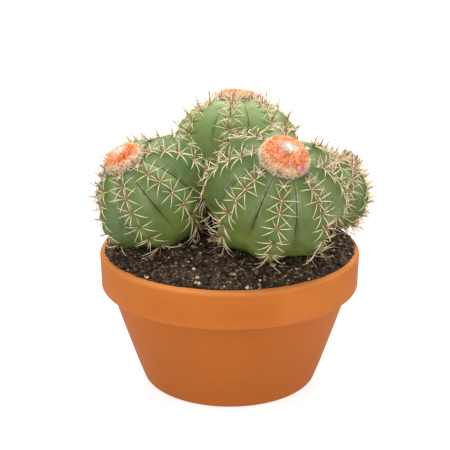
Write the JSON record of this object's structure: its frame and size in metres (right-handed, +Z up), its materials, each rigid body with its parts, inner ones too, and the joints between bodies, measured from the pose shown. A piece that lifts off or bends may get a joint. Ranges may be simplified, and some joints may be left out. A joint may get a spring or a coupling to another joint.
{
  "type": "potted melocactus",
  "caption": "Clay bowl of ribbed, spiny globe cacti, the grown ones topped by a dome of orange bristles and wool.",
  "frame": {"origin": "centre of the bowl's flat underside, on the bowl's axis", "axes": "+Z up along the bowl's axis; -Y towards the front, where the largest plant leans out; +X to the right seen from the front"},
  "size_m": [0.2115, 0.2054, 0.197],
  "materials": {
    "terracotta": "unglazed fired clay, smooth and matt",
    "potting_soil": "loose dark compost with pale grit",
    "cactus_skin": "waxy mid-green plant skin",
    "cactus_skin_pale": "waxy yellow-green plant skin",
    "cap_bristle": "dense orange bristles in cream wool",
    "pink_petal": "soft pink petals and berry skin"
  },
  "bodies": {
    "root": {"bowl": "terracotta", "soil": "potting_soil", "cactus_front": "cactus_skin", "cactus_left": "cactus_skin", "cactus_back": "cactus_skin_pale", "cactus_young": "cactus_skin", "cap_front": "cap_bristle", "cap_left": "cap_bristle", "cap_back": "cap_bristle", "flower_front": "pink_petal", "fruit_back": "pink_petal"}
  },
  "joints": []
}
